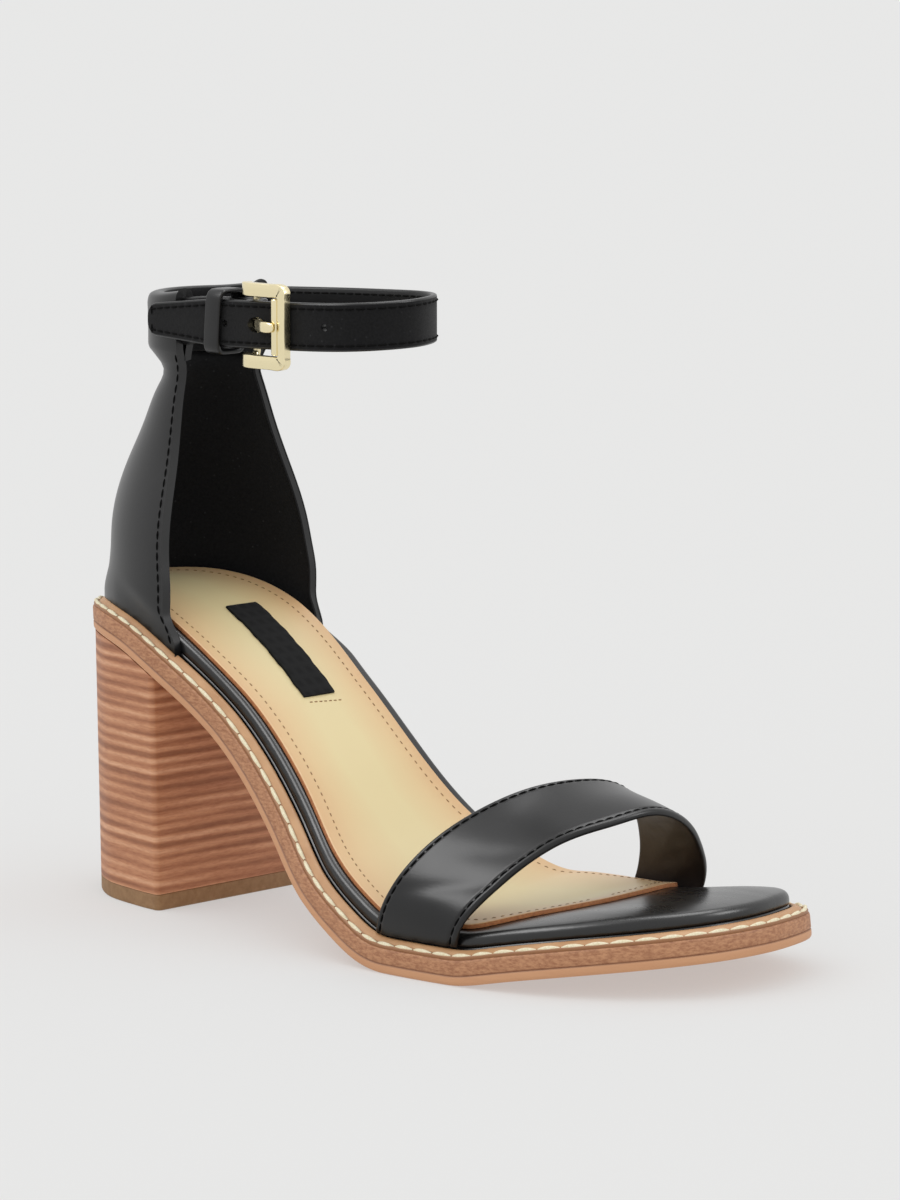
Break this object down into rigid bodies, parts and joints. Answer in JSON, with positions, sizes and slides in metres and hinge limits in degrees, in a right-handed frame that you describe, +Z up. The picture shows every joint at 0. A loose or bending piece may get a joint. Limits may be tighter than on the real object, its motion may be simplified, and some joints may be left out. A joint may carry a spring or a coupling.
{
  "type": "block heel sandal",
  "caption": "Open-toe, open-side sandal on a stacked block heel, with a wide toe strap, a heel counter and a buckled ankle strap.",
  "frame": {"origin": "middle of the plan bounding box, on the plane the shoe stands on", "axes": "+X from the heel to the toe, +Y towards the big toe side, +Z up"},
  "size_m": [0.2168, 0.0834, 0.1618],
  "materials": {
    "leather": "smooth satin black leather",
    "sole": "satin brown outsole with a fine grain",
    "welt": "smooth tan leather",
    "heel": "stacked layers, satin",
    "heel_tip": "matt olive brown",
    "sock": "smooth gold tan leather",
    "label": "black woven patch",
    "metal": "pale gold, polished"
  },
  "bodies": {
    "root": {"outsole": "sole", "welt": "welt", "footbed": "leather", "sock": "sock", "sock_label": "label", "heel_tip": "heel_tip", "heel_block": "heel", "counter": "leather", "ankle_strap": "leather", "buckle_frame": "metal", "buckle_roller": "metal", "buckle_prong": "metal", "keeper": "leather", "toe_strap": "leather"}
  },
  "joints": []
}
